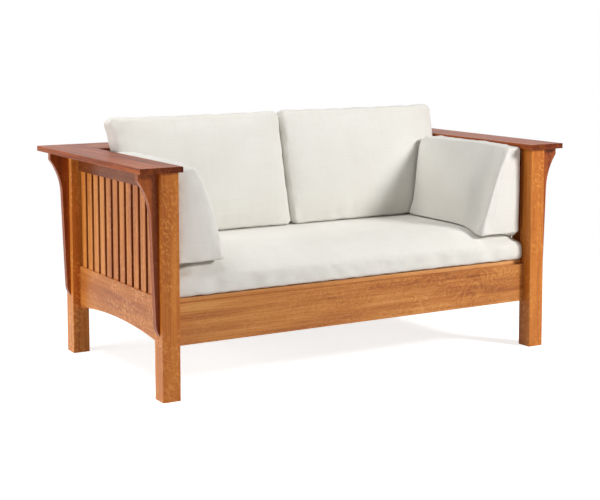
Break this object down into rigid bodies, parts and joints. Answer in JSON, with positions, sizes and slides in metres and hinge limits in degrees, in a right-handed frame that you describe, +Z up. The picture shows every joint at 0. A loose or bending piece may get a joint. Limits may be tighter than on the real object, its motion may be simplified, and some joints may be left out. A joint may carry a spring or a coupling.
{
  "type": "settle",
  "caption": "Long wooden settle with level arms and back, slatted sides and back, bracketed posts, an arched side rail and loose upholstered cushions.",
  "frame": {"origin": "on the floor, under the middle of the rectangle that the arm boards and the back board cover", "axes": "+X along the seat, to the right as seen from the front; +Y from the front to the back; +Z up"},
  "size_m": [1.731, 0.94, 0.8839],
  "materials": {
    "oak": "satin",
    "seat_wood": "raw",
    "webbing": "woven",
    "cushion_cloth": "woven"
  },
  "bodies": {
    "frame": {"front_rail": "oak", "back_bottom_rail": "oak", "back_top_rail": "oak", "back_slats": "oak", "back_cap": "oak", "post_front_left": "oak", "post_front_right": "oak", "post_rear_left": "oak", "post_rear_right": "oak", "corbel_front_left": "oak", "corbel_front_right": "oak", "corbel_rear_left": "oak", "corbel_rear_right": "oak", "corbel_back_left": "oak", "corbel_back_right": "oak", "arm_cap_left": "oak", "arm_cap_right": "oak", "side_bottom_rail_left": "oak", "side_bottom_rail_right": "oak", "side_top_rail_left": "oak", "side_top_rail_right": "oak", "side_slat_left_1": "oak", "side_slat_left_2": "oak", "side_slat_left_3": "oak", "side_slat_left_4": "oak", "side_slat_left_5": "oak", "side_slat_left_6": "oak", "side_slat_left_7": "oak", "side_slat_left_8": "oak", "side_slat_left_9": "oak", "side_slat_left_10": "oak", "side_slat_left_11": "oak", "side_slat_left_12": "oak", "side_slat_right_1": "oak", "side_slat_right_2": "oak", "side_slat_right_3": "oak", "side_slat_right_4": "oak", "side_slat_right_5": "oak", "side_slat_right_6": "oak", "side_slat_right_7": "oak", "side_slat_right_8": "oak", "side_slat_right_9": "oak", "side_slat_right_10": "oak", "side_slat_right_11": "oak", "side_slat_right_12": "oak", "cap_dowels": "seat_wood", "seat_cleats": "seat_wood", "seat_bearer": "seat_wood", "seat_frame_front": "oak", "seat_frame_rear": "seat_wood", "seat_frame_crosspieces": "seat_wood", "seat_straps": "webbing"},
    "seat_cushion_body": {"seat_cushion": "cushion_cloth"},
    "back_cushion_left_body": {"back_cushion_left": "cushion_cloth"},
    "back_cushion_right_body": {"back_cushion_right": "cushion_cloth"},
    "arm_cushion_left_body": {"arm_cushion_left": "cushion_cloth"},
    "arm_cushion_right_body": {"arm_cushion_right": "cushion_cloth"}
  },
  "joints": [
    {"name": "seat_lift", "type": "slide", "parent": "frame", "child": "seat_cushion_body", "axis": [0, 0, 1], "range_m": [0, 0.15]},
    {"name": "back_left_lift", "type": "slide", "parent": "seat_cushion_body", "child": "back_cushion_left_body", "axis": [0, 0.0958, 0.9954], "range_m": [0, 0.04]},
    {"name": "back_right_lift", "type": "slide", "parent": "seat_cushion_body", "child": "back_cushion_right_body", "axis": [0, 0.0958, 0.9954], "range_m": [0, 0.04]},
    {"name": "arm_left_lift", "type": "slide", "parent": "seat_cushion_body", "child": "arm_cushion_left_body", "axis": [0, 0, 1], "range_m": [0, 0.15]},
    {"name": "arm_right_lift", "type": "slide", "parent": "seat_cushion_body", "child": "arm_cushion_right_body", "axis": [0, 0, 1], "range_m": [0, 0.15]}
  ]
}
